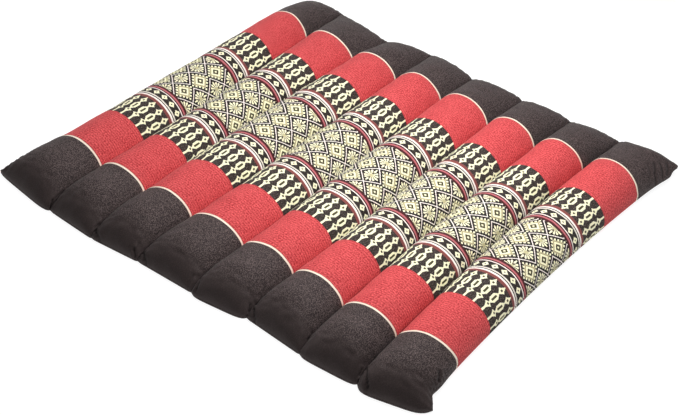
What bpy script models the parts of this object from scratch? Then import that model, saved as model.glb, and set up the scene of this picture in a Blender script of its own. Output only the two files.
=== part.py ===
"""Rollable meditation cushion: one filled mat of eight parallel rolls with sewn channels between them.

Metres, +Z up. The rolls run along X, front end at low X, and lie side by side along Y.
The origin is the middle of the mat's bounding box, at the surface that it lies on.
"""

import math

import bmesh
import bpy

# Cloth and stitching
WEB_THICKNESS = 0.003
ROLL_SECTION_POWERS = (1.965, 1.778)
UNDERSIDE_SECTION_POWERS = (2.6, 2.0)

# Heights above the surface that the mat lies on
SEAM_HEIGHT = 0.018
FRONT_SEAM_HEIGHT = 0.0051
REAR_SEAM_HEIGHT = 0.0148
UNDERSIDE_DEPTH = 0.0216

# Height of the crowns above the sewn channels, at two places along the rolls
CROWN_COLUMNS = ("along", "height")
CROWNS = (
    (-0.268, 0.0343),
    (0.238, 0.0414),
)

# The lines sewn along the mat, from the left side seam over the seven channels to the
# right side seam: where each line meets the two end seams, and its place across the mat
# at five places along it, since the sewing wanders a little
LINE_PLACES = (-0.36, -0.18, 0.0, 0.18, 0.36)
LINE_COLUMNS = ("front", "rear", "across 1", "across 2", "across 3", "across 4", "across 5")
SEWN_LINES = (
    (-0.3520, 0.3624, 0.3622, 0.3607, 0.3609, 0.3632, 0.3666),
    (-0.3706, 0.3700, 0.2657, 0.2646, 0.2657, 0.2722, 0.2930),
    (-0.3755, 0.3491, 0.1778, 0.1795, 0.1813, 0.1780, 0.1788),
    (-0.3684, 0.3669, 0.0954, 0.0883, 0.0871, 0.0866, 0.0975),
    (-0.3672, 0.3518, -0.0029, -0.0060, -0.0040, -0.0020, 0.0052),
    (-0.3560, 0.3552, -0.0907, -0.0971, -0.0982, -0.0978, -0.0932),
    (-0.3633, 0.3577, -0.1871, -0.1834, -0.1819, -0.1847, -0.1846),
    (-0.3572, 0.3633, -0.2766, -0.2699, -0.2659, -0.2692, -0.2729),
    (-0.3310, 0.3588, -0.3636, -0.3590, -0.3575, -0.3631, -0.3738),
)

# Each roll from left to right: how far its front and rear end stand out between the notches at
# its channels, and its height as a share of the crown height above
ROLL_COLUMNS = ("front bulge", "rear bulge", "height")
ROLLS = (
    (0.0062, 0.0024, 1.000),
    (0.0004, -0.0017, 0.965),
    (0.0003, 0.0022, 1.006),
    (-0.0002, 0.0058, 0.955),
    (0.0058, 0.0068, 0.955),
    (-0.0001, 0.0054, 0.986),
    (0.0041, 0.0024, 0.986),
    (0.0130, 0.0118, 0.955),
)
NOTCH_SHARPNESS = 6.0

# Length over which a roll tapers down to its end seam, and the powers of the taper's curve
FRONT_TAPER = 0.057
REAR_TAPER = 0.145
FRONT_TAPER_POWERS = (2.30, 2.35)
REAR_TAPER_POWERS = (1.70, 1.60)

# How far each corner reaches out past the drawn-in sides, and over what length
CORNER_COLUMNS = ("side", "end", "reach", "length")
CORNERS = (
    ("left", "front", 0.0268, 0.029),
    ("left", "rear", 0.0008, 0.033),
    ("right", "front", 0.0145, 0.025),
    ("right", "rear", 0.0155, 0.033),
)

# Mesh steps
STEPS_ACROSS_ROLL = 10
STEPS_IN_TAPER = 7
STEPS_IN_MIDDLE = 6

# Cloth look
CLOTH_COLOUR = (0.58, 0.085, 0.095, 1.0)
CLOTH_ROUGHNESS = 0.85


def clear_scene():
    """Remove every object, mesh and material that is already there."""
    for item in list(bpy.data.objects):
        bpy.data.objects.remove(item, do_unlink=True)
    for mesh in list(bpy.data.meshes):
        bpy.data.meshes.remove(mesh)
    for material in list(bpy.data.materials):
        bpy.data.materials.remove(material)


def blend(start, end, share):
    """The value that lies the given share of the way from start to end."""
    return start + (end - start) * share


def section(place, powers):
    """Height of a roll's section from 0 at its channels to 1 at its crown; place runs from -1 to 1."""
    inner, outer = powers
    return max(1.0 - abs(place) ** inner, 0.0) ** (1.0 / outer)


def crown_height(along):
    """Height of the crowns above the channels at a place along the rolls."""
    (first_x, first_h), (last_x, last_h) = CROWNS
    share = (along - first_x) / (last_x - first_x)
    return blend(first_h, last_h, min(max(share, 0.0), 1.0))


def taper(distance, length, powers):
    """Rounded end of a roll: 0 at its seam, 1 once the distance reaches the taper's length."""
    rest = 1.0 - min(distance / length, 1.0)
    inner, outer = powers
    return max(1.0 - rest ** inner, 0.0) ** (1.0 / outer)


def line_across(line, along):
    """Place across the mat of a sewn line, on the smooth curve through the line's table values."""
    across = 0.0
    for index, place in enumerate(LINE_PLACES):
        weight = 1.0
        for other in LINE_PLACES:
            if other != place:
                weight *= (along - other) / (place - other)
        across += weight * SEWN_LINES[line][2 + index]
    return across


def seam_height(from_front, from_rear):
    """Height of the channels, which sink towards the two end seams."""
    front_rest = 1.0 - min(from_front / FRONT_TAPER, 1.0)
    rear_rest = 1.0 - min(from_rear / REAR_TAPER, 1.0)
    front_drop = (SEAM_HEIGHT - FRONT_SEAM_HEIGHT) * front_rest ** 2
    rear_drop = (SEAM_HEIGHT - REAR_SEAM_HEIGHT) * rear_rest ** 2
    return SEAM_HEIGHT - front_drop - rear_drop


def corner_reach(side, from_front, from_rear):
    """How far a side seam stands out near its two corners."""
    reach = 0.0
    for corner_side, corner_end, most, length in CORNERS:
        if corner_side == side:
            distance = from_front if corner_end == "front" else from_rear
            reach += most * math.exp(-distance / length)
    return reach


def stations(length):
    """Distances from the front seam, close together on the rounded ends and wide in the middle."""
    front = []
    rear = []
    for step in range(STEPS_IN_TAPER):
        turn = 1.0 - math.cos(0.5 * math.pi * step / STEPS_IN_TAPER)
        front.append(FRONT_TAPER * turn)
        rear.append(length - REAR_TAPER * turn)
    middle = []
    for step in range(STEPS_IN_MIDDLE + 1):
        middle.append(blend(FRONT_TAPER, length - REAR_TAPER, step / STEPS_IN_MIDDLE))
    return front + middle + rear[::-1]


def column(roll, place):
    """Upper and lower points of the mat in one slice along a roll."""
    left = SEWN_LINES[roll]
    right = SEWN_LINES[roll + 1]
    share = 0.5 * (place + 1.0)
    front_bulge, rear_bulge, height = ROLLS[roll]
    between_notches = 1.0 - abs(place) ** NOTCH_SHARPNESS
    front = blend(left[0], right[0], share) - front_bulge * between_notches
    rear = blend(left[1], right[1], share) + rear_bulge * between_notches
    upper = []
    lower = []
    for from_front in stations(rear - front):
        from_rear = rear - front - from_front
        along = front + from_front
        across = blend(line_across(roll, along), line_across(roll + 1, along), share)
        if roll == 0:
            across += (1.0 - share) * corner_reach("left", from_front, from_rear)
        if roll == len(SEWN_LINES) - 2:
            across -= share * corner_reach("right", from_front, from_rear)
        fullness = taper(from_front, FRONT_TAPER, FRONT_TAPER_POWERS)
        fullness *= taper(from_rear, REAR_TAPER, REAR_TAPER_POWERS)
        seam = seam_height(from_front, from_rear)
        rise = height * crown_height(along) * fullness * section(place, ROLL_SECTION_POWERS)
        sink = UNDERSIDE_DEPTH * fullness * section(place, UNDERSIDE_SECTION_POWERS)
        upper.append((along, across, seam + rise))
        lower.append((along, across, max(seam - WEB_THICKNESS - sink, 0.0)))
    return upper, lower


def mat_columns():
    """All slices of the mat from its left side seam to its right one."""
    columns = []
    for roll in range(len(SEWN_LINES) - 1):
        first = 0 if roll == 0 else 1
        for step in range(first, STEPS_ACROSS_ROLL + 1):
            place = -math.cos(math.pi * step / STEPS_ACROSS_ROLL)
            columns.append(column(roll, place))
    return columns


def centre_of(columns):
    """Middle of the mat's outline along and across."""
    along = [point[0] for upper, _lower in columns for point in upper]
    across = [point[1] for upper, _lower in columns for point in upper]
    return 0.5 * (min(along) + max(along)), 0.5 * (min(across) + max(across))


def add_sheet(mesh, rows, top):
    """Faces between neighbouring slices of one side of the mat."""
    for one, other in zip(rows, rows[1:]):
        for index in range(len(one) - 1):
            corners = (one[index], other[index], other[index + 1], one[index + 1])
            mesh.faces.new(corners if top else corners[::-1])


def add_rim(mesh, upper, lower):
    """Faces of the narrow edge that joins the two sides along the four outer seams."""
    last = len(upper[0]) - 1
    top = list(upper[0])
    top += [row[last] for row in upper[1:]]
    top += upper[-1][last - 1::-1]
    top += [row[0] for row in upper[-2:0:-1]]
    under = list(lower[0])
    under += [row[last] for row in lower[1:]]
    under += lower[-1][last - 1::-1]
    under += [row[0] for row in lower[-2:0:-1]]
    for index in range(len(top)):
        after = (index + 1) % len(top)
        mesh.faces.new((top[index], top[after], under[after], under[index]))


def build_cushion():
    """The filled mat as one closed solid."""
    columns = mat_columns()
    middle_x, middle_y = centre_of(columns)
    mesh = bmesh.new()
    upper = []
    lower = []
    for upper_points, lower_points in columns:
        upper.append([mesh.verts.new((x - middle_x, y - middle_y, z)) for x, y, z in upper_points])
        lower.append([mesh.verts.new((x - middle_x, y - middle_y, z)) for x, y, z in lower_points])
    add_sheet(mesh, upper, True)
    add_sheet(mesh, lower, False)
    add_rim(mesh, upper, lower)
    bmesh.ops.recalc_face_normals(mesh, faces=mesh.faces)
    data = bpy.data.meshes.new("cushion")
    mesh.to_mesh(data)
    mesh.free()
    cushion = bpy.data.objects.new("cushion", data)
    bpy.context.scene.collection.objects.link(cushion)
    return cushion


def cloth_material():
    """Matt woven cotton."""
    material = bpy.data.materials.new("cushion_cloth")
    material.use_nodes = True
    surface = material.node_tree.nodes["Principled BSDF"]
    surface.inputs["Base Color"].default_value = CLOTH_COLOUR
    surface.inputs["Roughness"].default_value = CLOTH_ROUGHNESS
    surface.inputs["Metallic"].default_value = 0.0
    return material


def smooth(cushion):
    """Smooth shading with sharp edges kept at the narrow rim."""
    cushion.data.shade_smooth()
    cushion.data.set_sharp_from_angle(angle=math.radians(50.0))


clear_scene()
cushion_object = build_cushion()
cushion_object.data.materials.append(cloth_material())
smooth(cushion_object)
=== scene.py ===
"""Rollable meditation cushion: cloth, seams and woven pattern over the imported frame, with camera,
floor and light."""

import math

import bmesh
import bpy
import numpy as np
from mathutils import Euler, Matrix


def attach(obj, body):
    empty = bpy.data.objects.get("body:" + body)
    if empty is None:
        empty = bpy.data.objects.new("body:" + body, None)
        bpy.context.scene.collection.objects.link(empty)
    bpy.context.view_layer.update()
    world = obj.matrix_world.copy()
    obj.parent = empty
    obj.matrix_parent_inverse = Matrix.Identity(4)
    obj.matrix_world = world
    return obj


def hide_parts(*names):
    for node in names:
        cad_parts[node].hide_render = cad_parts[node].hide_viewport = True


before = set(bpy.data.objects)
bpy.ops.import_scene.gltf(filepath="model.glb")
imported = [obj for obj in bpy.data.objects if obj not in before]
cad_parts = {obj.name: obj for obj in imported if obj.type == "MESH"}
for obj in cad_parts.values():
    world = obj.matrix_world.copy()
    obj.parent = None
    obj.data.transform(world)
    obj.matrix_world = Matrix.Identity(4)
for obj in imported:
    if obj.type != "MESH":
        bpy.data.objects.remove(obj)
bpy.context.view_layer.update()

# Shape of the mat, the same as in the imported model, in metres. The shift brings the middle of its
# outline to the origin.
MAT_SHIFT = (0.00091, 0.00015)
WEB_THICKNESS = 0.003
ROLL_SECTION_POWERS = (1.965, 1.778)
UNDERSIDE_SECTION_POWERS = (2.6, 2.0)
SEAM_HEIGHT = 0.018
FRONT_SEAM_HEIGHT = 0.0051
REAR_SEAM_HEIGHT = 0.0148
UNDERSIDE_DEPTH = 0.0216
# Place along the mat and height of the crowns above the channels
CROWNS = ((-0.268, 0.0343), (0.238, 0.0414))
# Front end and rear end of each sewn line, then its place across at the five places along
LINE_PLACES = (-0.36, -0.18, 0.0, 0.18, 0.36)
SEWN_LINES = np.array((
    (-0.3520, 0.3624, 0.3622, 0.3607, 0.3609, 0.3632, 0.3666),
    (-0.3706, 0.3700, 0.2657, 0.2646, 0.2657, 0.2722, 0.2930),
    (-0.3755, 0.3491, 0.1778, 0.1795, 0.1813, 0.1780, 0.1788),
    (-0.3684, 0.3669, 0.0954, 0.0883, 0.0871, 0.0866, 0.0975),
    (-0.3672, 0.3518, -0.0029, -0.0060, -0.0040, -0.0020, 0.0052),
    (-0.3560, 0.3552, -0.0907, -0.0971, -0.0982, -0.0978, -0.0932),
    (-0.3633, 0.3577, -0.1871, -0.1834, -0.1819, -0.1847, -0.1846),
    (-0.3572, 0.3633, -0.2766, -0.2699, -0.2659, -0.2692, -0.2729),
    (-0.3310, 0.3588, -0.3636, -0.3590, -0.3575, -0.3631, -0.3738),
))
FIRST_PLACE_COLUMN = 2
MIDDLE_PLACE_COLUMN = 4
# Front bulge, rear bulge and height of each roll
ROLL_ENDS = np.array((
    (0.0062, 0.0024, 1.000),
    (0.0004, -0.0017, 0.965),
    (0.0003, 0.0022, 1.006),
    (-0.0002, 0.0058, 0.955),
    (0.0058, 0.0068, 0.955),
    (-0.0001, 0.0054, 0.986),
    (0.0041, 0.0024, 0.986),
    (0.0130, 0.0118, 0.955),
))
NOTCH_SHARPNESS = 6.0
FRONT_TAPER = 0.057
REAR_TAPER = 0.145
FRONT_TAPER_POWERS = (2.30, 2.35)
REAR_TAPER_POWERS = (1.70, 1.60)
# How far each corner reaches out past the drawn-in sides, and over what length
CORNERS = (
    ("left", "front", 0.0268, 0.029),
    ("left", "rear", 0.0008, 0.033),
    ("right", "front", 0.0145, 0.025),
    ("right", "rear", 0.0155, 0.033),
)

# Mesh steps: the front and rear ends have a fine and a medium step
ROLLS = len(SEWN_LINES) - 1
STEPS_ACROSS_ROLL = 44
CHANNEL_CROWDING = 0.09
ARC_SAMPLES = 1201
ARC_CROWN = 0.0386
FIRST_STEP = 0.0003
STEP_GROWTH = 0.22
FRONT_STEPS = (0.0014, 0.0026)
REAR_STEPS = (0.0021, 0.0028)
COARSE_STEP = 0.0072
FINE_LENGTH = 0.058
MEDIUM_LENGTH = 0.130
# Columns of woven cloth on the underside, next to each side seam
SIDE_STRIP = 12
# How much coarser the underside is, the least thickness of the mat and the hollow of its seam
UNDERSIDE_COARSENESS = 2
LEAST_THICKNESS = 0.0012
SEAM_GROOVE = 0.0008

# Places in the flat layout for baking: upper cloth, underside, seam, and the step at a channel
UV_UPPER = (0.005, 0.66)
UV_LOWER = (0.675, 0.97)
UV_SEAM = (0.98, 0.99)
UV_CHANNEL_STEP = 0.0003

# Where the stuffed cloth sits a little off the plain shape: roll, end, place from that end and its
# spread, side, place from that side of the roll and its spread, and the shift along, across and up
TUCKS = (
    (7, "rear", 0.000, 0.016, "right", 0.000, 0.020, (-0.0030, 0.0120, 0.0070)),
    (7, "rear", 0.032, 0.022, "right", 0.052, 0.026, (0.0000, 0.0000, 0.0055)),
    (7, "front", 0.018, 0.014, "right", 0.000, 0.030, (0.0000, 0.0062, 0.0000)),
    (0, "front", 0.000, 0.014, "left", 0.000, 0.020, (-0.0040, -0.0040, 0.0000)),
)
UNDERSIDE_TUCK_REACH = 0.03

# Soft relief of the upper cloth in metres: height, wavelength and seed
ROLL_NOISE_STEP = 0.4
FILLING_LUMPS = ((0.0009, 0.085, 3), (0.0004, 0.034, 4))
END_LUMPS = (0.0006, 0.020, 6)
END_LUMPS_REACH = {"front": 0.07, "rear": 0.06}
CRUMPLE = (0.0007, 0.011, 8)
CRUMPLE_PLACE = 0.020
CRUMPLE_SPREAD = 0.013
# Puckers beside the channels: height, wavelength and seed, then how soon they start and fade
CHANNEL_PUCKERS = (0.0006, 0.021, 11)
CHANNEL_PUCKER_START = 0.0012
CHANNEL_PUCKER_FADE = 0.007
CHANNEL_NOISE_STEPS = (1.7, 0.8)
# Gathers square to the end seams: height, wavelength and seed, then how soon they start and fade
END_PUCKERS = {"front": (0.0010, 0.013, 21), "rear": (0.0008, 0.012, 22)}
END_PUCKER_START = 0.0015
END_PUCKER_FADE = 0.011
END_PUCKER_DRIFT = 0.25
END_NOISE_STEP = 0.131
# Even gathers square to the side seams: heights everywhere, near the ends and at the corners
SIDE_PUCKER_SEEDS = {"left": 31, "right": 32}
SIDE_PUCKER_HEIGHTS = (0.00008, 0.00022, 0.00065)
SIDE_PUCKER_SPACING = 0.0064
SIDE_PUCKER_SLANT = 0.25
SIDE_PUCKER_DRIFT = 1.6
SIDE_PUCKER_DRIFT_LENGTH = 0.035
SIDE_PUCKER_START = 0.0020
SIDE_PUCKER_FADE = 0.024
# Painted shade in the hollows of the gathers: its share near the ends and at the corners
SIDE_PUCKER_SHADES = (0.15, 0.7)
NEAR_END = 0.11
FRONT_CORNER_PLACE = 0.018
FRONT_CORNER_SPREAD = 0.032
REAR_CORNER_SHARE = 0.7
REAR_CORNER_SPREAD = 0.070

# Creases at the notches and corners: roll, then distance from the front or rear seam and length of
# cloth from the left channel where each begins and ends, its width and its depth, in millimetres
CREASES = {
    "front": (
        (0, (30.0, 127.0), (9.0, 123.0), 1.5, 1.8),
        (0, (9.0, 123.0), (1.0, 130.0), 1.7, 2.6),
        (1, (17.0, 117.0), (9.0, 114.0), 1.5, 1.6),
        (2, (9.0, 7.0), (3.0, 19.6), 1.6, 2.4),
        (2, (3.0, 19.6), (0.0, 35.5), 1.3, 1.6),
        (2, (12.0, 108.0), (4.1, 106.0), 1.8, 1.8),
        (2, (4.1, 106.0), (0.5, 117.0), 1.4, 2.0),
        (3, (9.5, 8.5), (0.3, 30.5), 1.6, 2.2),
        (3, (12.0, 109.0), (3.0, 107.5), 1.8, 1.6),
        (4, (24.0, 11.5), (2.3, 23.1), 2.0, 2.6),
        (4, (13.0, 119.0), (5.0, 126.5), 1.6, 2.0),
        (5, (10.0, 10.0), (5.5, 20.0), 1.6, 2.4),
        (5, (5.5, 20.0), (0.3, 29.1), 1.4, 2.0),
        (5, (27.0, 117.0), (17.0, 119.5), 1.5, 1.6),
        (6, (22.0, 10.5), (5.3, 4.5), 1.8, 2.4),
        (6, (14.0, 112.0), (7.0, 116.5), 1.6, 2.0),
        (7, (17.0, 17.0), (1.7, 35.0), 2.0, 2.8),
        (7, (7.0, 5.0), (1.5, 9.0), 1.5, 2.0),
        (7, (47.0, 111.0), (33.0, 121.0), 1.8, 2.2),
    ),
    "rear": (
        (7, (55.0, 97.0), (67.0, 112.0), 2.6, 2.2),
        (7, (67.0, 112.0), (63.0, 130.0), 2.4, 2.6),
        (7, (72.0, 92.0), (78.0, 111.0), 2.6, 1.3),
        (7, (43.0, 101.0), (45.0, 124.0), 2.8, 1.9),
        (7, (27.0, 105.0), (31.0, 121.0), 2.6, 1.7),
        (7, (20.0, 8.0), (3.0, 17.0), 2.2, 1.2),
        (6, (18.0, 118.0), (4.0, 109.0), 2.2, 1.4),
        (6, (16.0, 8.0), (4.0, 18.0), 2.2, 1.3),
        (5, (18.0, 116.0), (3.0, 106.0), 2.2, 1.4),
        (5, (14.0, 8.0), (3.0, 15.0), 2.2, 1.2),
        (4, (19.0, 124.0), (4.0, 114.0), 2.2, 1.4),
        (4, (15.0, 8.0), (3.0, 18.0), 2.2, 1.2),
        (3, (15.0, 121.0), (3.0, 113.0), 2.2, 1.2),
        (2, (15.0, 8.0), (3.0, 15.0), 2.2, 1.1),
        (1, (16.0, 116.0), (3.0, 108.0), 2.2, 1.2),
    ),
}
CREST_PLACE = 2.1
CREST_SHARE = 0.35
# Depth of a crease, in millimetres, from which its hollow takes the full painted shade
DARKEST_CREASE = 2.4
# Darker cloth on the front faces, which the light from above hardly reaches
FRONT_SHADE = 0.40
FRONT_SHADE_LENGTH = 0.030

# Where the woven cloth lies on each roll, in millimetres, read off the photograph. By pairs:
# the front stripe along the mat, towards the left and towards the right of the roll; the rear
# stripe; the middle figured diamonds; and the cloth from the left channel to those diamonds, level
# with the front and with the rear figured column.
CLOTH_LAY = np.array((
    (-266, -266, 243, 244, -19, -19, 90, 91),
    (-270, -268, 242, 243, -17, -16, 59, 62),
    (-268, -265, 239, 242, -20, -18, 76, 75),
    (-266, -264, 243, 246, -16, -16, 89, 90),
    (-265, -263, 242, 240, -16, -18, 97, 105),
    (-267, -268, 237, 237, -22, -22, 69, 72),
    (-273, -270, 237, 240, -19, -18, 84, 87),
    (-264, -258, 252, 246, -13, -14, 53, 59),
))
# Shares of a roll's cloth at which its left and right values hold, and the place along the mat and
# the distance each way from it at which its front and rear values hold
LAY_LEFT = 0.49
LAY_RIGHT = 0.79
LAY_SIDE_LIMITS = (-0.8, 1.4)
LAY_CENTRE = -19.0
LAY_REACH = 125.0
LAY_END_LIMITS = (-0.2, 1.2)
DIAMOND_OFFSET = -0.8
PATTERN_STRETCH = (0.987, 1.013)
# Distance to a channel, in millimetres, where there is none
NO_CHANNEL = 1000.0

# Colours of the yarns
BLACK_YARN = (0.020, 0.0140, 0.0140)
# Lighter yarns of the black cloth: partly their own colour, partly a painted sheen where they catch
# the light
BLACK_SHEEN_YARN = (0.150, 0.108, 0.104)
RED_YARN = (0.74, 0.118, 0.118)
RED_DEEP_YARN = (0.36, 0.020, 0.028)
GROUND_YARN = (0.022, 0.016, 0.014)
GROUND_LIGHT = (0.150, 0.118, 0.105)
CREAM_YARN = (0.92, 0.88, 0.62)
TAN_YARN = (0.55, 0.50, 0.29)
OLIVE_YARN = (0.075, 0.064, 0.028)
PALE_YARN = (0.93, 0.85, 0.80)
SOFT_YARN = (0.92, 0.86, 0.76)
MAROON_YARN = (0.068, 0.012, 0.014)
ROSE_YARN = (0.48, 0.135, 0.150)
WINE_YARN = (0.23, 0.062, 0.058)
BLUSH_YARN = (0.48, 0.23, 0.21)
STRIPE_YARN = (0.90, 0.76, 0.63)
# Thin lines of painted shade along the red side and the black side of the pale stripe
STRIPE_INNER_SHADE_COLOUR = (0.20, 0.05, 0.04)
STRIPE_OUTER_SHADE_COLOUR = (0.012, 0.009, 0.009)

# Weave, in millimetres: steps of the figures along and across, and how far the yarns stray
WEAVE_ALONG = 0.64
WEAVE_ACROSS = 0.55
YARN_STRAY = 1.1
STRAY_SCALES = (0.11, 0.13)
# Ribs and uneven yarns, and how much ribs, yarns, crossing yarns and mottle brighten the red
RIB_SPACING = 4.4
YARN_SCALES = (0.62, 0.34)
MOTTLE_SCALE = 0.05
RED_SHARES = (0.16, 2.4, 1.8, 0.4)
# Brightness of the darkest yarns, and how much more the brightest ones have
YARN_LIGHT = (0.85, 0.30)
CROSS_YARN_LIGHT = (0.88, 0.24)
# Pale flecks of the dark ground: size, detail and roughness, level, slope, share in narrow bands
FLECKS = (0.50, 2.0, 0.6)
FLECK_LEVEL = 0.47
FLECK_SLOPE = 4.0
FLECK_BEAD_SHARE = 0.3
# Length that the colour ramps span, and the widest half figure that they hold
RAMP_LENGTH = 200.0
RAMP_WIDTH = 10.0

# Bands from the pattern's middle outwards, in millimetres
FIGURE_PERIOD = 16.5
FIGURE_START = 97.6
FIGURE_GROUND = 98.2
FIGURE_END = 158.5
BEAD_BAND = (69.9, 85.0)
LADDER_BAND = (84.9, 86.8)
BAND_STOPS = (
    (0.0, GROUND_YARN),
    (58.5, MAROON_YARN),
    (62.0, ROSE_YARN),
    (65.1, MAROON_YARN),
    (68.1, PALE_YARN),
    (69.7, GROUND_YARN),
    (LADDER_BAND[0], SOFT_YARN),
    (LADDER_BAND[1], GROUND_YARN),
    (89.3, PALE_YARN),
    (92.2, BLUSH_YARN),
    (93.4, WINE_YARN),
    (FIGURE_GROUND, GROUND_YARN),
    (FIGURE_END, RED_YARN),
)
# Steps and dark share of each rung of the stitched line
LADDER_PITCH = 2.06
LADDER_RUNG = 0.27
LADDER_SHARE = 0.8
# Small diamonds of the narrow band: middle, half length, half width and size of the hole
BEAD_PLACE = 77.6
BEAD_LENGTH = 5.8
BEAD_WIDTH = 6.0
BEAD_HOLE = 0.28

# Figured columns next to the red bands: half their width at places from the pattern's middle
# outwards, and the holes in them as place, half length and half width
FIGURE_OUTLINE = (
    (FIGURE_START, 0.0), (98.6, 0.8), (100.0, 1.2), (101.6, 2.5), (103.4, 2.9), (105.0, 4.2),
    (107.1, 6.5), (109.2, 4.2), (110.8, 3.0), (112.4, 2.4), (113.6, 1.2), (115.2, 1.0),
    (121.4, 5.4), (131.6, 5.4), (135.2, 2.7), (137.2, 1.3), (138.4, 1.3), (140.0, 4.2),
    (141.7, 6.6), (143.4, 4.2), (148.7, 1.7), (FIGURE_END, 1.4),
)
FIGURE_HOLES = ((107.1, 2.0, 1.5), (126.4, 6.0, 1.4), (141.7, 1.8, 1.4))

# Lattice of the middle field: size of its repeat, place of its figured diamonds, slope and half
# width of its lines, and where it ends
LATTICE_WIDTH = 38.4
LATTICE_HEIGHT = 49.5
LATTICE_PLACE = (DIAMOND_OFFSET, -0.6)
LATTICE_SLOPE = 1.058
LATTICE_LINE = 1.05
LATTICE_EDGE = 58.3
# Rings of the figured diamonds, from their middles outwards
DIAMOND_CORE = 2.3
DIAMOND_CREAM = (6.4, 10.4)
DIAMOND_TAN = (10.4, 14.4)
DIAMOND_VEIN = (11.3, 12.3)
DIAMOND_VEIN_SHARE = 0.6
DIAMOND_TEETH = (14.0, 18.7)
TOOTH_PITCH = 8.24
TOOTH_WIDTH = 2.3
# Flowers between the diamonds
FLOWER_PETAL = math.pi / 6.0
FLOWER_REACH = 11.6
FLOWER_DIP = -12.0
FLOWER_CORE = 3.4
FLOWER_SLIT = 0.72
FLOWER_SLIT_START = 5.0
FLOWER_ARMS = ((14.0, 1.2), (13.0, 1.3))
FLOWER_STREAK = (3.2, 7.6)
FLOWER_STREAK_WIDTH = 0.7
FLOWER_VEIN = (3.4, 5.2)
FLOWER_VEIN_WIDTH = 0.40

# Pale stripe between the black and the red cloth, in millimetres from its middle, inwards positive
# Its outer and inner lines hold painted shade along the stripe's edges
STRIPE_OUTER_LINE = (-2.3, -1.65)
STRIPE_BAND = (-1.7, 1.75)
STRIPE_INNER_LINE = (1.7, 2.3)
STRIPE_STRAY = 0.5
# Shade beside the channels, in millimetres from them, and in the folds
CHANNEL_SHADE = 0.65
CHANNEL_SHADE_START = 1.0
CHANNEL_SHADE_WIDTH = 6.5
FOLD_SHADE = 0.8
# Speckle of the black cloth: size, detail and roughness, then the level it starts at, its slope,
# its mean, and the share of it that is left in the shade
SPECKLE = (0.72, 2.0, 0.8)
SPECKLE_LEVEL = 0.47
SPECKLE_SLOPE = 7.0
SPECKLE_MEAN = 0.36
SPECKLE_IN_SHADE = 0.18
UNDERSIDE_SPECKLE = (0.5, 0.10)
# Shade of a fold at which the speckle starts to fade, and how fast
SPECKLE_FADE_START = 0.05
SPECKLE_FADE = 4.0
# Depth of the weave in metres, and the heights of its parts: for the red its ribs, yarns and
# crossing yarns, for the black that in the shade and what the light adds
WEAVE_DEPTH = 0.00035
FLOAT_HEIGHT = 0.8
THREAD_HEIGHT = 0.5
STRIPE_HEIGHT = 0.9
RED_HEIGHTS = (0.35, 1.1, 0.9)
BLACK_HEIGHTS = (0.4, 1.6)
COVER_RELIEF = 0.55
UNDERSIDE_RELIEF = 0.5
# Roughness of the cloth, and what floating yarns and black cloth take away and uneven yarns add
CLOTH_ROUGHNESS = 0.86
FLOAT_GLOSS = 0.12
BLACK_GLOSS = 0.16
YARN_ROUGHNESS = 0.06
UNDERSIDE_ROUGHNESS = (0.66, 0.10)
CLOTH_SHEEN = 0.04
COVER_SHEEN_ROUGHNESS = 0.45
CLOTH_SPECULAR = 0.20


def smooth_noise(x, y, wavelength, seed, waves=14):
    """Soft random relief between about -1 and 1, from a sum of plane waves."""
    rng = np.random.default_rng(seed)
    total = np.zeros(np.broadcast(x, y).shape)
    for _ in range(waves):
        angle = rng.uniform(0.0, 2.0 * math.pi)
        size = wavelength * rng.uniform(0.7, 1.5)
        phase = rng.uniform(0.0, 2.0 * math.pi)
        distance = x * math.cos(angle) + y * math.sin(angle)
        total += np.cos(2.0 * math.pi * distance / size + phase)
    return total / math.sqrt(0.5 * waves) / 1.6


def cloth_noise(wavelength, seed):
    """Soft random relief over the upper cloth, different on every roll."""
    return smooth_noise(ALONG, ROLL_OF * ROLL_NOISE_STEP + ARC, wavelength, seed)


def section(place, powers):
    """Height of a roll's section from 0 at its channels to 1 at its crown."""
    return np.maximum(1.0 - np.abs(place) ** powers[0], 0.0) ** (1.0 / powers[1])


def taper(rest, powers):
    """Rounded end of a roll: 0 at its seam, 1 where the rest of the taper is 0."""
    return np.maximum(1.0 - rest ** powers[0], 0.0) ** (1.0 / powers[1])


def roll_arc(roll):
    """Places across a roll and the length of cloth from its left channel to each."""
    fine = -np.cos(np.linspace(0.0, math.pi, ARC_SAMPLES))
    left, right = SEWN_LINES[roll:roll + 2, MIDDLE_PLACE_COLUMN]
    run = np.diff(fine) * 0.5 * (left - right)
    rise = np.diff(ARC_CROWN * section(fine, ROLL_SECTION_POWERS))
    return fine, np.concatenate(([0.0], np.cumsum(np.hypot(run, rise))))


def mat_columns():
    """Roll number, place across the roll, cloth length and whole cloth length of every column."""
    columns = []
    for roll in range(ROLLS):
        fine, length = roll_arc(roll)
        for step in range(0 if roll == 0 else 1, STEPS_ACROSS_ROLL + 1):
            even = step / STEPS_ACROSS_ROLL
            crowded = even - CHANNEL_CROWDING * math.sin(2.0 * math.pi * even)
            arc = crowded * length[-1]
            columns.append((roll, np.interp(arc, length, fine), arc, length[-1]))
    rolls, places, arcs, totals = np.array(columns).T
    return rolls.astype(int), places, arcs, totals


def end_steps(fine, medium):
    """Distances from an end seam, fine near it."""
    steps = [0.0]
    while steps[-1] < FINE_LENGTH:
        steps.append(steps[-1] + min(FIRST_STEP + STEP_GROWTH * steps[-1], fine))
    while steps[-1] < MEDIUM_LENGTH:
        steps.append(steps[-1] + medium)
    return np.array(steps)


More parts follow.
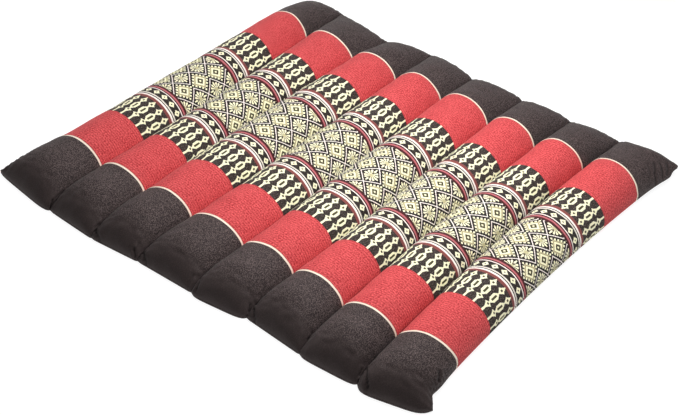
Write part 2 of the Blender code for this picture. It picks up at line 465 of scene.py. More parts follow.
def mat_rows():
    """Distance from the front seam, distance from the rear seam and place along the mat."""
    left_line = SEWN_LINES[ROLL_OF]
    right_line = SEWN_LINES[ROLL_OF + 1]
    ends = left_line + (right_line - left_line) * SHARE[:, None]
    between_notches = 1.0 - np.abs(PLACE) ** NOTCH_SHARPNESS
    front = ends[:, 0] - ROLL_ENDS[ROLL_OF, 0] * between_notches
    rear = ends[:, 1] + ROLL_ENDS[ROLL_OF, 1] * between_notches
    near_front = end_steps(*FRONT_STEPS)
    near_rear = end_steps(*REAR_STEPS)
    middle_length = rear - front - near_front[-1] - near_rear[-1]
    middle_count = int(round(np.mean(middle_length) / COARSE_STEP))
    middle_share = np.linspace(0.0, 1.0, middle_count + 1)[1:-1]
    from_front = np.concatenate((
        np.repeat(near_front[:, None], len(front), 1),
        near_front[-1] + middle_share[:, None] * middle_length,
        (rear - front) - near_rear[::-1, None],
    ))
    return from_front, (rear - front) - from_front, front + from_front


# The grid of the mat: one value for every column across, and rows and columns of values along
ROLL_OF, PLACE, ARC, ARC_TOTAL = mat_columns()
SHARE = 0.5 * (PLACE + 1.0)
ARC_RIGHT = ARC_TOTAL - ARC
SIDE_SHARE = {
    "left": np.where(ROLL_OF == 0, 1.0 - SHARE, 0.0),
    "right": np.where(ROLL_OF == ROLLS - 1, SHARE, 0.0),
}
FROM_FRONT, FROM_REAR, ALONG = mat_rows()
ROWS, COLUMNS = ALONG.shape
# The same distances by the seam or side that they start from
FROM_END = {"front": FROM_FRONT, "rear": FROM_REAR}
ARC_FROM = {"left": ARC, "right": ARC_RIGHT}


def line_across():
    """Place across the mat of every grid point, between the sewn lines beside it."""
    places = SEWN_LINES[:, FIRST_PLACE_COLUMN:]
    curves = np.polyfit(LINE_PLACES, places.T, len(LINE_PLACES) - 1)
    across = np.zeros_like(ALONG)
    for power, curve in enumerate(curves[::-1]):
        left = curve[ROLL_OF]
        across += (left + (curve[ROLL_OF + 1] - left) * SHARE) * ALONG ** power
    for side, end, reach, length in CORNERS:
        outward = SIDE_SHARE[side] if side == "left" else -SIDE_SHARE[side]
        across += outward * reach * np.exp(-FROM_END[end] / length)
    return across


def plain_shape():
    """Plain mat: places and heights of its upper and lower cloth, and how full its rolls are."""
    front_rest = 1.0 - np.minimum(FROM_FRONT / FRONT_TAPER, 1.0)
    rear_rest = 1.0 - np.minimum(FROM_REAR / REAR_TAPER, 1.0)
    fullness = taper(front_rest, FRONT_TAPER_POWERS) * taper(rear_rest, REAR_TAPER_POWERS)
    front_drop = (SEAM_HEIGHT - FRONT_SEAM_HEIGHT) * front_rest ** 2
    rear_drop = (SEAM_HEIGHT - REAR_SEAM_HEIGHT) * rear_rest ** 2
    seam = SEAM_HEIGHT - front_drop - rear_drop
    crown = np.interp(ALONG, *zip(*CROWNS)) * ROLL_ENDS[ROLL_OF, 2]
    sink = UNDERSIDE_DEPTH * fullness * section(PLACE, UNDERSIDE_SECTION_POWERS)
    top_z = seam + crown * fullness * section(PLACE, ROLL_SECTION_POWERS)
    under_z = np.maximum(seam - WEB_THICKNESS - sink, 0.0)
    return ALONG + MAT_SHIFT[0], line_across() + MAT_SHIFT[1], top_z, under_z, fullness


def tuck(x, y, top_z, under_z):
    """Shift the plain shape where the stuffed cloth sits a little off it."""
    for roll, end, place, spread, side, side_place, side_spread, shift in TUCKS:
        along_off = (FROM_END[end] - place) / spread
        across_off = (ARC_FROM[side] - side_place) / side_spread
        weight = np.where(ROLL_OF == roll, np.exp(-along_off ** 2 - across_off ** 2), 0.0)
        x += shift[0] * weight
        y += shift[1] * weight
        top_z += shift[2] * weight
        under_z += shift[2] * weight * np.exp(-(ARC_FROM[side] / UNDERSIDE_TUCK_REACH) ** 2)


def normals_of(x, y, z):
    """Unit normals of a grid of points, pointing up."""
    points = np.stack((x, y, z), -1)
    normal = np.cross(np.gradient(points, axis=1), np.gradient(points, axis=0))
    return normal / np.maximum(np.linalg.norm(normal, axis=-1, keepdims=True), 1e-12)


def channel_puckers():
    """Small puckers beside the channels."""
    height, wavelength, seed = CHANNEL_PUCKERS
    roll_step, side_step = CHANNEL_NOISE_STEPS
    pull = np.zeros_like(ALONG)
    for number, side in enumerate(("left", "right")):
        distance = ARC_FROM[side]
        across = ROLL_OF * roll_step + number * side_step
        ripple = smooth_noise(ALONG, across, wavelength, seed + number)
        start = 1.0 - np.exp(-distance / CHANNEL_PUCKER_START)
        pull += ripple * np.exp(-distance / CHANNEL_PUCKER_FADE) * start
    return height * pull


def end_puckers(end):
    """Small gathers square to an end seam."""
    height, wavelength, seed = END_PUCKERS[end]
    distance = FROM_END[end]
    across = ARC + ROLL_OF * END_NOISE_STEP
    ripple = smooth_noise(across, END_PUCKER_DRIFT * distance, wavelength, seed)
    start = 1.0 - np.exp(-distance / END_PUCKER_START)
    return height * ripple * np.exp(-distance / END_PUCKER_FADE) * start


def side_puckers(side):
    """Even gathers square to a side seam, and the painted shade of their hollows."""
    arc = ARC_FROM[side]
    near_corner = np.exp(-((FROM_FRONT - FRONT_CORNER_PLACE) / FRONT_CORNER_SPREAD) ** 2)
    near_corner += REAR_CORNER_SHARE * np.exp(-(FROM_REAR / REAR_CORNER_SPREAD) ** 2)
    near_end = np.exp(-(np.minimum(FROM_FRONT, FROM_REAR) / NEAR_END) ** 2)
    drift = smooth_noise(ALONG, 0.3 * arc, SIDE_PUCKER_DRIFT_LENGTH, SIDE_PUCKER_SEEDS[side])
    turn = 2.0 * math.pi * (ALONG + SIDE_PUCKER_SLANT * arc) / SIDE_PUCKER_SPACING
    ripple = np.cos(turn + SIDE_PUCKER_DRIFT * drift)
    fade = np.exp(-arc / SIDE_PUCKER_FADE) * (1.0 - np.exp(-arc / SIDE_PUCKER_START))
    fade = np.where(SIDE_SHARE[side] > 0.0, fade, 0.0)
    everywhere, end_height, corner_height = SIDE_PUCKER_HEIGHTS
    height = everywhere + end_height * near_end + corner_height * near_corner
    end_shade, corner_shade = SIDE_PUCKER_SHADES
    shade = end_shade * near_end + corner_shade * near_corner
    return height * ripple * fade, shade * fade * np.maximum(-ripple, 0.0)


def crease(distance, arc, begin, end, width):
    """Hollow of 0 to 1 along the line between two places of a roll, and the low crests beside it."""
    run = np.array(end) - np.array(begin)
    share = ((distance - begin[0]) * run[0] + (arc - begin[1]) * run[1]) / np.dot(run, run)
    share = np.clip(share, 0.0, 1.0)
    off = np.hypot(distance - begin[0] - share * run[0], arc - begin[1] - share * run[1])
    return np.exp(-(off / width) ** 2), np.exp(-((off - CREST_PLACE * width) / width) ** 2)


def cloth_relief(fullness):
    """Lumps, puckers and creases of the upper cloth, and painted shade on its front faces and in
    hollows.
    """
    full = np.clip(fullness, 0.0, 1.0)
    soft = np.clip(fullness * section(PLACE, ROLL_SECTION_POWERS), 0.0, 1.0)
    relief = channel_puckers() * full + end_puckers("front") + end_puckers("rear")
    for height, wavelength, seed in FILLING_LUMPS:
        relief += height * cloth_noise(wavelength, seed) * soft
    near_ends = sum(np.exp(-(FROM_END[end] / reach) ** 2) for end, reach in END_LUMPS_REACH.items())
    height, wavelength, seed = END_LUMPS
    relief += height * near_ends * soft * cloth_noise(wavelength, seed)
    height, wavelength, seed = CRUMPLE
    ridge = np.exp(-((FROM_FRONT - CRUMPLE_PLACE) / CRUMPLE_SPREAD) ** 2)
    relief += height * ridge * full * cloth_noise(wavelength, seed)
    shade = FRONT_SHADE * np.exp(-(FROM_FRONT / FRONT_SHADE_LENGTH) ** 2)
    for end, table in CREASES.items():
        for roll, first, last, width, depth in table:
            hollow, crest = crease(FROM_END[end] * 1000.0, ARC * 1000.0, first, last, width)
            mine = (ROLL_OF == roll)[None, :]
            relief += mine * depth * 0.001 * (CREST_SHARE * crest - hollow)
            # Painted shade in the hollow of each crease, darker for deeper ones
            shade = np.maximum(shade, mine * hollow * min(depth / DARKEST_CREASE, 1.0))
    for side in ("left", "right"):
        gathers, gather_shade = side_puckers(side)
        relief += gathers
        shade = np.maximum(shade, gather_shade)
    return relief, shade


def cloth_surfaces():
    """Points of the upper and the lower cloth, and painted shade on the upper one's front faces and
    in its hollows.
    """
    x, y, top_z, under_z, fullness = plain_shape()
    tuck(x, y, top_z, under_z)
    relief, shade = cloth_relief(fullness)
    top = np.stack((x, y, top_z), -1) + relief[..., None] * normals_of(x, y, top_z)
    top[..., 2] = np.maximum(top[..., 2], under_z + LEAST_THICKNESS)
    return top, np.stack((x, y, under_z), -1), shade


def lay_value(left, right):
    """A value of the cloth's lay at every column, from its two values on the roll."""
    rightward = (ARC / ARC_TOTAL - LAY_LEFT) / (LAY_RIGHT - LAY_LEFT)
    return left + (right - left) * np.clip(rightward, *LAY_SIDE_LIMITS)


def cloth_coordinates(shade):
    """Cloth and stripe coordinates of every grid point, in millimetres.

    Cloth: place along from the pattern's middle, place across, and distance to the nearest channel.
    Stripes: distance inwards from the front and from the rear stripe, and the painted shade of
    hollows and front faces.
    """
    lay = CLOTH_LAY[ROLL_OF].T
    along = ALONG * 1000.0
    pattern = along - lay_value(lay[4], lay[5]) + DIAMOND_OFFSET
    pattern = pattern / np.where(pattern < 0.0, *PATTERN_STRETCH)
    rearward = np.clip((along - LAY_CENTRE) / (2.0 * LAY_REACH) + 0.5, *LAY_END_LIMITS)
    across = ARC * 1000.0 - lay[6] - (lay[7] - lay[6]) * rearward
    to_left = np.where(ROLL_OF == 0, 1.0, ARC)
    to_right = np.where(ROLL_OF == ROLLS - 1, 1.0, ARC_RIGHT)
    channel = np.minimum(to_left, to_right) * 1000.0 + np.zeros_like(along)
    from_front_stripe = along - lay_value(lay[0], lay[1])
    from_rear_stripe = lay_value(lay[2], lay[3]) - along
    stripes = np.stack((from_front_stripe, from_rear_stripe, shade), -1)
    return np.stack((pattern, across, channel), -1), stripes


def flat_layout():
    """Share of the mat's length at every grid point, and share of its cloth width at every column."""
    along = (ALONG - ALONG.min()) / (ALONG.max() - ALONG.min())
    steps = np.where(np.diff(ROLL_OF) == 0, np.abs(np.diff(ARC)), UV_CHANNEL_STEP)
    across = np.concatenate(([0.0], np.cumsum(steps)))
    return along, across / across[-1]


TOP, UNDER, PAINTED_SHADE = cloth_surfaces()
CLOTH, STRIPES = cloth_coordinates(PAINTED_SHADE)
LAYOUT_ALONG, LAYOUT_ACROSS = flat_layout()
UPPER_MATERIAL = 0
UNDERSIDE_MATERIAL = 1


def set_layout(face, layer, spots, low, high):
    """Give a face its place in the flat layout."""
    for loop, (i, j) in zip(face.loops, spots):
        loop[layer].uv = (LAYOUT_ALONG[i, j], low + (high - low) * LAYOUT_ACROSS[j])


def add_upper(mesh, layers):
    """Fine grid of the upper cloth."""
    cloth_layer, stripe_layer, layout_layer = layers
    upper = [[mesh.verts.new(point) for point in row] for row in TOP]
    for i in range(ROWS):
        for j in range(COLUMNS):
            upper[i][j][cloth_layer] = CLOTH[i, j]
            upper[i][j][stripe_layer] = STRIPES[i, j]
    for i in range(ROWS - 1):
        for j in range(COLUMNS - 1):
            spots = ((i, j), (i, j + 1), (i + 1, j + 1), (i + 1, j))
            face = mesh.faces.new([upper[a][b] for a, b in spots])
            face.material_index = UPPER_MATERIAL
            set_layout(face, layout_layer, spots, *UV_UPPER)
    return upper


def kept(count):
    """Rows or columns of the coarser grid below."""
    return sorted(set(range(0, count, UNDERSIDE_COARSENESS)) | {count - 1})


def add_lower_vertices(mesh, layers):
    """Vertices of the coarser grid below, with woven cloth wrapped round the two side seams."""
    cloth_layer, stripe_layer, _ = layers
    kept_rows = set(kept(ROWS))
    kept_columns = set(kept(COLUMNS))
    lower = [[None] * COLUMNS for _ in range(ROWS)]
    for i in range(ROWS):
        for j in range(COLUMNS):
            on_rim = i in (0, ROWS - 1) or j in (0, COLUMNS - 1)
            if on_rim or (i in kept_rows and j in kept_columns):
                lower[i][j] = mesh.verts.new(UNDER[i, j])
    left_strip = [(j, 0, -1.0) for j in range(SIDE_STRIP + 1)]
    right_strip = [(j, COLUMNS - 1, 1.0) for j in range(COLUMNS - 1 - SIDE_STRIP, COLUMNS)]
    for j, edge, way in left_strip + right_strip:
        for i in range(ROWS):
            if lower[i][j] is not None:
                down = (np.linalg.norm(UNDER[i, j] - UNDER[i, edge]) + WEB_THICKNESS) * 1000.0
                across = CLOTH[i, edge, 1] + way * down
                lower[i][j][cloth_layer] = (CLOTH[i, j, 0], across, NO_CHANNEL)
                lower[i][j][stripe_layer] = (STRIPES[i, edge, 0], STRIPES[i, edge, 1], 0.0)
    return lower


def coarse_spots(i0, i1, j0, j1):
    """Corners of a coarse face below, with the finer points where it meets the rim."""
    spots = [(i0, j0)]
    if i0 == 0:
        spots += [(0, j) for j in range(j0 + 1, j1)]
    spots.append((i0, j1))
    if j1 == COLUMNS - 1:
        spots += [(i, j1) for i in range(i0 + 1, i1)]
    spots.append((i1, j1))
    if i1 == ROWS - 1:
        spots += [(i1, j) for j in range(j1 - 1, j0, -1)]
    spots.append((i1, j0))
    if j0 == 0:
        spots += [(i, 0) for i in range(i1 - 1, i0, -1)]
    return spots[::-1]


def add_lower(mesh, layers):
    """Coarser grid of the underside."""
    lower = add_lower_vertices(mesh, layers)
    rows = kept(ROWS)
    columns = kept(COLUMNS)
    for i0, i1 in zip(rows, rows[1:]):
        for j0, j1 in zip(columns, columns[1:]):
            spots = coarse_spots(i0, i1, j0, j1)
            face = mesh.faces.new([lower[i][j] for i, j in spots])
            woven = j1 <= SIDE_STRIP or j0 >= COLUMNS - 1 - SIDE_STRIP
            face.material_index = UPPER_MATERIAL if woven else UNDERSIDE_MATERIAL
            set_layout(face, layers[2], spots, *UV_LOWER)
    return lower


def add_seam(mesh, layers, upper, lower):
    """Narrow edge that joins the two cloths, hollowed a little along its middle."""
    cloth_layer, stripe_layer, layout_layer = layers
    rim = [(0, j) for j in range(COLUMNS)]
    rim += [(i, COLUMNS - 1) for i in range(1, ROWS)]
    rim += [(ROWS - 1, j) for j in range(COLUMNS - 2, -1, -1)]
    rim += [(i, 0) for i in range(ROWS - 2, 0, -1)]
    grooves = []
    for i, j in rim:
        x, y, z = 0.5 * (TOP[i, j] + UNDER[i, j])
        inward = np.array(((i == 0) - (i == ROWS - 1), (j == COLUMNS - 1) - (j == 0)), float)
        inward *= SEAM_GROOVE / np.linalg.norm(inward)
        groove = mesh.verts.new((x + inward[0], y + inward[1], z))
        groove[cloth_layer] = upper[i][j][cloth_layer]
        groove[stripe_layer] = upper[i][j][stripe_layer]
        grooves.append(groove)
    for index, (i, j) in enumerate(rim):
        after = (index + 1) % len(rim)
        next_i, next_j = rim[after]
        on_side = j == next_j and j in (0, COLUMNS - 1)
        below_material = UPPER_MATERIAL if on_side else UNDERSIDE_MATERIAL
        above = (upper[i][j], upper[next_i][next_j], grooves[after], grooves[index])
        below = (grooves[index], grooves[after], lower[next_i][next_j], lower[i][j])
        spots = ((i, j), (next_i, next_j), (next_i, next_j), (i, j))
        for corners, material in ((above, UPPER_MATERIAL), (below, below_material)):
            face = mesh.faces.new(corners)
            face.material_index = material
            set_layout(face, layout_layer, spots, *UV_SEAM)


def build_cover():
    """The closed cover: fine upper cloth, coarser underside and a seam between them."""
    mesh = bmesh.new()
    layers = (
        mesh.verts.layers.float_vector.new("cloth"),
        mesh.verts.layers.float_vector.new("stripes"),
        mesh.loops.layers.uv.new("OFBake"),
    )
    upper = add_upper(mesh, layers)
    lower = add_lower(mesh, layers)
    add_seam(mesh, layers, upper, lower)
    bmesh.ops.recalc_face_normals(mesh, faces=mesh.faces)
    data = bpy.data.meshes.new("cushion_cover")
    mesh.to_mesh(data)
    mesh.free()
    data.shade_smooth()
    cover = bpy.data.objects.new("cushion_cover", data)
    bpy.context.scene.collection.objects.link(cover)
    return cover


class Value:
    """A number in a material's node tree that can be worked with like any number."""

    def __init__(self, tree, socket):
        self.tree = tree
        self.socket = socket

    def math(self, operation, *others):
        node = self.tree.nodes.new("ShaderNodeMath")
        node.operation = operation
        for index, item in enumerate((self, *others)):
            if isinstance(item, Value):
                self.tree.links.new(item.socket, node.inputs[index])
            else:
                node.inputs[index].default_value = item
        return Value(self.tree, node.outputs[0])

    def __add__(self, other):
        return self.math("ADD", other)

    def __sub__(self, other):
        return self.math("SUBTRACT", other)

    def __mul__(self, other):
        return self.math("MULTIPLY", other)

    def __truediv__(self, other):
        return self.math("DIVIDE", other)

    def below(self, other):
        return self.math("LESS_THAN", other)

    def above(self, other):
        return self.math("GREATER_THAN", other)

    def between(self, low, high):
        return self.above(low) * self.below(high)

    def floor(self):
        return self.math("FLOOR")

    def absolute(self):
        return self.math("ABSOLUTE")

    def fraction(self):
        return self.math("FRACT")

    def either(self, other):
        return self.math("MAXIMUM", other)

    def inverse(self):
        return self * -1.0 + 1.0

    def fold(self, period):
        """Distance to the nearest multiple of the period."""
        return ((self / period + 0.5).fraction() - 0.5).absolute() * period

    def stepped(self, size):
        """Middle of the step that the number falls in."""
        return ((self / size).floor() + 0.5) * size

    def clamped(self):
        """The number held between 0 and 1."""
        node = self.tree.nodes.new("ShaderNodeClamp")
        self.tree.links.new(self.socket, node.inputs[0])
        return Value(self.tree, node.outputs[0])


def mix_colour(tree, base, colour, amount):
    """Colour socket that shows colour over base by the amount."""
    node = tree.nodes.new("ShaderNodeMix")
    node.data_type = "RGBA"
    for index, item in ((6, base), (7, colour)):
        if isinstance(item, tuple):
            node.inputs[index].default_value = (*item, 1.0)
        else:
            tree.links.new(item, node.inputs[index])
    tree.links.new(amount.socket, node.inputs[0])
    return node.outputs[2]


def shade_colour(tree, colour, factor):
    """Colour socket multiplied by a number."""
    node = tree.nodes.new("ShaderNodeVectorMath")
    node.operation = "SCALE"
    tree.links.new(colour, node.inputs[0])
    tree.links.new(factor.socket, node.inputs["Scale"])
    return node.outputs[0]


def ramp(tree, away, stops, interpolation):
    """Colour socket that looks up the stops by a place from 0 to the ramp's length."""
    node = tree.nodes.new("ShaderNodeValToRGB")
    node.color_ramp.interpolation = interpolation
    elements = node.color_ramp.elements
    while len(elements) > 1:
        elements.remove(elements[-1])
    for index, (place, colour) in enumerate(stops):
        position = place / RAMP_LENGTH
        element = elements[0] if index == 0 else elements.new(position)
        element.position = position
        element.color = (*colour, 1.0)
    tree.links.new((away / RAMP_LENGTH).socket, node.inputs[0])
    return node.outputs[0]


def noise(tree, vector, scale, detail=2.0, roughness=0.5):
    """Noise value over a vector."""
    node = tree.nodes.new("ShaderNodeTexNoise")
    node.inputs["Scale"].default_value = scale
    node.inputs["Detail"].default_value = detail
    node.inputs["Roughness"].default_value = roughness
    tree.links.new(vector, node.inputs["Vector"])
    return Value(tree, node.outputs[0])


def vector_of(tree, *parts):
    """Vector socket from three numbers."""
    node = tree.nodes.new("ShaderNodeCombineXYZ")
    for index, part in enumerate(parts):
        if isinstance(part, Value):
            tree.links.new(part.socket, node.inputs[index])
        else:
            node.inputs[index].default_value = part
    return node.outputs[0]


def yarn_noise(tree, s, t, scales, layer):
    """Uneven yarns, longer one way than the other."""
    return noise(tree, vector_of(tree, s * scales[0], t * scales[1], layer), 1.0, 2.0, 0.6)


def attribute_parts(tree, name):
    """The three numbers of a vector attribute."""
    node = tree.nodes.new("ShaderNodeAttribute")
    node.attribute_name = name
    split = tree.nodes.new("ShaderNodeSeparateXYZ")
    tree.links.new(node.outputs["Vector"], split.inputs[0])
    return [Value(tree, output) for output in split.outputs]


def place_in_mm(tree):
    """Vector socket with the place on the mat in millimetres."""
    place = tree.nodes.new("ShaderNodeTexCoord")
    scaled = tree.nodes.new("ShaderNodeVectorMath")
    scaled.operation = "SCALE"
    tree.links.new(place.outputs["Object"], scaled.inputs[0])
    scaled.inputs["Scale"].default_value = 1000.0
    return scaled.outputs[0]


def new_cloth(name):
    """A cloth material with its node tree and shader."""
    material = bpy.data.materials.new(name)
    material.use_nodes = True
    surface = material.node_tree.nodes["Principled BSDF"]
    surface.inputs["Sheen Weight"].default_value = CLOTH_SHEEN
    surface.inputs["Specular IOR Level"].default_value = CLOTH_SPECULAR
    return material, material.node_tree, surface


def set_relief(tree, surface, height, strength):
    """Bump of a surface by the height of its weave."""
    bump = tree.nodes.new("ShaderNodeBump")
    bump.inputs["Strength"].default_value = strength
    bump.inputs["Distance"].default_value = WEAVE_DEPTH
    tree.links.new(height.socket, bump.inputs["Height"])
    tree.links.new(bump.outputs[0], surface.inputs["Normal"])


def figured_columns(tree, away, sideways):
    """Cream figures and their holes, by the distances from the middles of pattern and figure."""
    stops = [(place, (half / RAMP_WIDTH,) * 3) for place, half in FIGURE_OUTLINE]
    split = tree.nodes.new("ShaderNodeSeparateColor")
    tree.links.new(ramp(tree, away, stops, "LINEAR"), split.inputs[0])
    half_width = Value(tree, split.outputs[0])
    figures = (sideways / RAMP_WIDTH - half_width).below(0.0) * away.between(FIGURE_START, FIGURE_END)
    holes = None
    for place, length, width in FIGURE_HOLES:
        hole = (away - place).absolute().below(length) * sideways.below(width)
        holes = hole if holes is None else holes.either(hole)
    return figures, holes


def flower_masks(dx, dy):
    """Cream petals, tan core and dark veins of the flowers between the figured diamonds."""
    fx = dx * -1.0 + 0.5 * LATTICE_WIDTH
    fy = dy * -1.0 + 0.5 * LATTICE_HEIGHT
    radius = (fx * fx + fy * fy).math("SQRT")
    angle = fy.math("ARCTAN2", fx + 0.001)
    petal = ((angle / FLOWER_PETAL + 0.5).fraction() - 0.5).absolute()
    off_slit = (petal * -1.0 + 0.5) * radius * FLOWER_PETAL
    slit = off_slit.below(FLOWER_SLIT) * radius.above(FLOWER_SLIT_START)
    reach = radius.below(petal * petal * FLOWER_DIP + FLOWER_REACH)
    for (length, width), run, side in zip(FLOWER_ARMS, (fx, fy), (fy, fx)):
        reach = reach.either(side.below(width) * run.below(length))
    core = radius.below(FLOWER_CORE)
    streak = fy.below(FLOWER_STREAK_WIDTH) * fx.between(*FLOWER_STREAK)
    veins = off_slit.below(FLOWER_VEIN_WIDTH) * radius.between(*FLOWER_VEIN)
    return reach * slit.inverse() * core.inverse(), core, streak.either(veins)


def lattice_masks(s, t):
    """Pale lattice lines, and the cream, tan and dark parts of the figures between them."""
    dx = (s - LATTICE_PLACE[0]).fold(LATTICE_WIDTH)
    dy = (t - LATTICE_PLACE[1]).fold(LATTICE_HEIGHT)
    ring = dx + dy
    beyond = dy + dx * LATTICE_SLOPE - 0.5 * LATTICE_HEIGHT
    line = beyond.absolute().below(LATTICE_LINE)
    teeth = (dx - dy).fold(TOOTH_PITCH).below(TOOTH_WIDTH) * ring.between(*DIAMOND_TEETH)
    petals, core, veins = flower_masks(dx, dy)
    cream = ring.below(DIAMOND_CORE).either(ring.between(*DIAMOND_CREAM)).either(teeth).either(petals)
    tan = ring.between(*DIAMOND_TAN).either(core)
    dark = ring.between(DIAMOND_CORE, DIAMOND_CREAM[0]).either(veins)
    dark = dark.either(ring.between(*DIAMOND_VEIN) * DIAMOND_VEIN_SHARE)
    return line, cream, tan, dark


def woven_bands(tree, flat, s, t, t_raw):
    """Colour of the bands, figures and lattice, and where their yarns float above the ground."""
    away = s.absolute()
    sideways = (t + 0.5 * FIGURE_PERIOD).fold(FIGURE_PERIOD)
    bands = ramp(tree, away, BAND_STOPS, "CONSTANT")
    flecks = ((noise(tree, flat, *FLECKS) - FLECK_LEVEL) * FLECK_SLOPE).clamped()
    ground = away.between(FIGURE_GROUND, FIGURE_END)
    ground = ground.either(away.between(*BEAD_BAND) * FLECK_BEAD_SHARE)
    bands = mix_colour(tree, bands, GROUND_LIGHT, flecks * ground)
    ladder = t_raw.fold(LADDER_PITCH).below(LADDER_RUNG) * away.between(*LADDER_BAND)
    bands = mix_colour(tree, bands, GROUND_YARN, ladder * LADDER_SHARE)
    bead = (away - BEAD_PLACE).absolute() / BEAD_LENGTH + sideways / BEAD_WIDTH
    beads = bead.between(BEAD_HOLE, 1.0) * away.between(*BEAD_BAND)
    figures, holes = figured_columns(tree, away, sideways)
    line, cream, tan, dark = lattice_masks(s, t)
    field = away.below(LATTICE_EDGE)
    for colour, amount in (
        (CREAM_YARN, beads),
        (CREAM_YARN, figures),
        (OLIVE_YARN, holes),
        (CREAM_YARN, cream * field),
        (TAN_YARN, tan * field),
        (OLIVE_YARN, dark * field),
        (PALE_YARN, line * field),
    ):
        bands = mix_colour(tree, bands, colour, amount)
    return bands, (cream.either(line) * field).either(figures).either(beads)


def black_cloth(tree, speckle, sparkle):
    """Colour of the black cloth, speckled where its yarns catch the light."""
    level = ((speckle - SPECKLE_LEVEL) * SPECKLE_SLOPE).clamped() - SPECKLE_MEAN
    gleam = level * (sparkle * (1.0 - SPECKLE_IN_SHADE) + SPECKLE_IN_SHADE) + SPECKLE_MEAN
    return mix_colour(tree, BLACK_YARN, BLACK_SHEEN_YARN, gleam)


def cover_material():
    """The whole upper cloth: black ends, pale stripes, red bands, figured borders and lattice."""
    material, tree, surface = new_cloth("cushion_cover")
    s_raw, t_raw, channel = attribute_parts(tree, "cloth")
    # The third part of the stripes attribute is the painted shade of folds and front faces
    front_edge, rear_edge, fold = attribute_parts(tree, "stripes")
    flat = vector_of(tree, s_raw, t_raw, 0.0)
    stray = noise(tree, flat, STRAY_SCALES[0]) - 0.5
    cross_stray = noise(tree, vector_of(tree, t_raw, s_raw, 7.0), STRAY_SCALES[1]) - 0.5
    s_soft = s_raw + stray * YARN_STRAY
    t_soft = t_raw + cross_stray * YARN_STRAY
    s = s_soft.stepped(WEAVE_ALONG)
    t = t_soft.stepped(WEAVE_ACROSS)
    edge = front_edge.math("MINIMUM", rear_edge) + stray * STRIPE_STRAY
    past_figures = s.absolute().above(FIGURE_END)
    is_black = edge.below(STRIPE_BAND[0])
    bands, floats = woven_bands(tree, flat, s, t, t_raw)

    # Ribs and uneven yarns of the red bands
    rib = (s_soft * (2.0 * math.pi / RIB_SPACING)).math("COSINE")
    yarn = yarn_noise(tree, s_raw, t_raw, YARN_SCALES, 0.0)
    cross_yarn = yarn_noise(tree, s_raw, t_raw, YARN_SCALES[::-1], 3.0)
    mottle = noise(tree, flat, MOTTLE_SCALE, 3.0)
    brightness = rib * RED_SHARES[0] + 0.5
    for value, amount in zip((yarn, cross_yarn, mottle), RED_SHARES[1:]):
        brightness = brightness + (value - 0.5) * amount
    red = mix_colour(tree, RED_DEEP_YARN, RED_YARN, brightness.clamped())
    bands = mix_colour(tree, bands, red, past_figures)
    light = yarn * YARN_LIGHT[1] + YARN_LIGHT[0]
    cross_light = cross_yarn * CROSS_YARN_LIGHT[1] + CROSS_YARN_LIGHT[0]
    bands = shade_colour(tree, bands, light * cross_light)

    # Pale stripe between its two outlines of painted shade, and the black cloth outside it
    speckle = noise(tree, place_in_mm(tree), *SPECKLE)
    sparkle = ((fold - SPECKLE_FADE_START) * -SPECKLE_FADE + 1.0).clamped()
    colour = bands
    for over, amount in (
        (STRIPE_INNER_SHADE_COLOUR, edge.between(*STRIPE_INNER_LINE)),
        (STRIPE_YARN, edge.between(*STRIPE_BAND)),
        (black_cloth(tree, speckle, sparkle), is_black),
        (STRIPE_OUTER_SHADE_COLOUR, edge.between(*STRIPE_OUTER_LINE)),
    ):
        colour = mix_colour(tree, colour, over, amount)

    # Painted shade in the folds, creases and gathers, on the front faces and in the channels between
    # the rolls
    out_of_channel = ((channel - CHANNEL_SHADE_START) / CHANNEL_SHADE_WIDTH).clamped()
    light = out_of_channel * CHANNEL_SHADE + (1.0 - CHANNEL_SHADE)
    colour = shade_colour(tree, colour, light * (fold * -FOLD_SHADE + 1.0))
    tree.links.new(colour, surface.inputs["Base Color"])

    # Relief of the weave
    is_red = past_figures * edge.above(STRIPE_INNER_LINE[0])
    thread = (s_soft / WEAVE_ALONG).fraction() - 0.5
    cross_thread = (t_soft / WEAVE_ACROSS).fraction() - 0.5
    fine = (thread.absolute() + cross_thread.absolute()) * -0.5
    height = floats * FLOAT_HEIGHT + fine * THREAD_HEIGHT
    height = height * is_red.inverse() * is_black.inverse()
    for value, amount in zip((rib, yarn, cross_yarn), RED_HEIGHTS):
        height = height + is_red * value * amount
    height = height + is_black * speckle * (sparkle * BLACK_HEIGHTS[1] + BLACK_HEIGHTS[0])
    height = height + edge.between(*STRIPE_BAND) * STRIPE_HEIGHT
    set_relief(tree, surface, height, COVER_RELIEF)
    roughness = floats * -FLOAT_GLOSS + CLOTH_ROUGHNESS
    roughness = roughness - is_black * BLACK_GLOSS + yarn * YARN_ROUGHNESS
    tree.links.new(roughness.socket, surface.inputs["Roughness"])
    surface.inputs["Sheen Roughness"].default_value = COVER_SHEEN_ROUGHNESS
    return material


def underside_material():
    """Plain black cotton below."""
    material, tree, surface = new_cloth("cushion_underside")
    speckle = noise(tree, place_in_mm(tree), *SPECKLE)
    level = ((speckle - SPECKLE_LEVEL) * SPECKLE_SLOPE).clamped()
    amount = level * UNDERSIDE_SPECKLE[0] + UNDERSIDE_SPECKLE[1]
    colour = mix_colour(tree, BLACK_YARN, BLACK_SHEEN_YARN, amount)
    tree.links.new(colour, surface.inputs["Base Color"])
    set_relief(tree, surface, speckle, UNDERSIDE_RELIEF)
    roughness = speckle * UNDERSIDE_ROUGHNESS[1] + UNDERSIDE_ROUGHNESS[0]
    tree.links.new(roughness.socket, surface.inputs["Roughness"])
    return material


cover = build_cover()
cover.data.materials.append(cover_material())
cover.data.materials.append(underside_material())
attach(cover, "root")
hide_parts("cushion")


FLOOR_HALF_SIZE = 40.0
FLOOR_COLOUR = (0.22, 0.22, 0.22)
FLOOR_GLOW = 0.92
WORLD_STRENGTH = 0.02
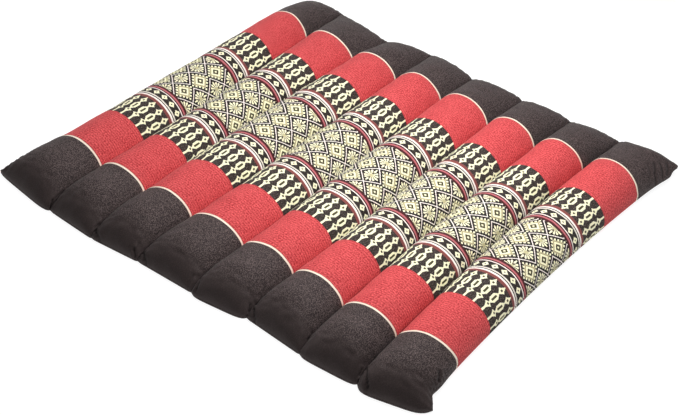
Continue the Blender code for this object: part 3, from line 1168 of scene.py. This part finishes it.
# Soft lights of the studio: name, place, size and power
STUDIO_LIGHTS = (
    ("over_light", (0.10, -0.05, 0.75), 0.4, 3.2),
    ("front_light", (-0.24, -0.26, 0.72), 0.4, 1.6),
    ("right_light", (0.10, -0.38, 0.78), 0.4, 4.3),
    ("left_light", (0.0, 0.9, 0.9), 0.8, 5.6),
    ("rear_light", (1.8, 0.0, 0.6), 1.0, 1.2),
    ("rear_left_light", (0.9, 0.9, 0.45), 0.6, 2.2),
)
LIGHT_AIM = (0.0, 0.0, 0.02)
# Camera: lens in millimetres, place, and tilt, roll and turn in degrees
CAMERA_LENS = 74.55
CAMERA_SENSOR = 36.0
CAMERA_PLACE = (-1.46691, -0.94598, 1.27089)
CAMERA_ANGLES = (52.4988, -4.9558, -53.0435)


def add_floor():
    """Plain pale floor under the mat."""
    mesh = bmesh.new()
    bmesh.ops.create_grid(mesh, x_segments=4, y_segments=4, size=FLOOR_HALF_SIZE)
    data = bpy.data.meshes.new("floor")
    mesh.to_mesh(data)
    mesh.free()
    floor = bpy.data.objects.new("floor", data)
    bpy.context.scene.collection.objects.link(floor)
    material = bpy.data.materials.new("floor")
    material.use_nodes = True
    surface = material.node_tree.nodes["Principled BSDF"]
    surface.inputs["Base Color"].default_value = (*FLOOR_COLOUR, 1.0)
    surface.inputs["Roughness"].default_value = 0.9
    surface.inputs["Specular IOR Level"].default_value = 0.0
    surface.inputs["Emission Color"].default_value = (1.0, 1.0, 1.0, 1.0)
    surface.inputs["Emission Strength"].default_value = FLOOR_GLOW
    data.materials.append(material)


def add_area(name, place, aim, size, power):
    """Square area light at a place, aimed at a point."""
    data = bpy.data.lights.new(name, "AREA")
    data.shape = "SQUARE"
    data.size = size
    data.energy = power
    light = bpy.data.objects.new(name, data)
    bpy.context.scene.collection.objects.link(light)
    back = np.array(place, float) - np.array(aim, float)
    back /= np.linalg.norm(back)
    side = np.cross((0.0, 1.0, 0.0), back)
    side /= np.linalg.norm(side)
    turn = Matrix((side, np.cross(back, side), back)).transposed().to_4x4()
    turn.translation = place
    light.matrix_world = turn


def add_camera():
    """Camera at the photograph's angle."""
    data = bpy.data.cameras.new("camera")
    data.sensor_width = CAMERA_SENSOR
    data.sensor_fit = "HORIZONTAL"
    data.lens = CAMERA_LENS
    camera = bpy.data.objects.new("camera", data)
    bpy.context.scene.collection.objects.link(camera)
    turn = Euler([math.radians(angle) for angle in CAMERA_ANGLES], "XYZ").to_matrix().to_4x4()
    turn.translation = CAMERA_PLACE
    camera.matrix_world = turn
    bpy.context.scene.camera = camera


add_floor()
for light_name, light_place, light_size, light_power in STUDIO_LIGHTS:
    add_area(light_name, light_place, LIGHT_AIM, light_size, light_power)
add_camera()
world = bpy.data.worlds.new("studio")
world.use_nodes = True
background = world.node_tree.nodes["Background"]
background.inputs[0].default_value = (1.0, 1.0, 1.0, 1.0)
background.inputs[1].default_value = WORLD_STRENGTH
bpy.context.scene.world = world
bpy.context.scene.view_settings.view_transform = "Standard"
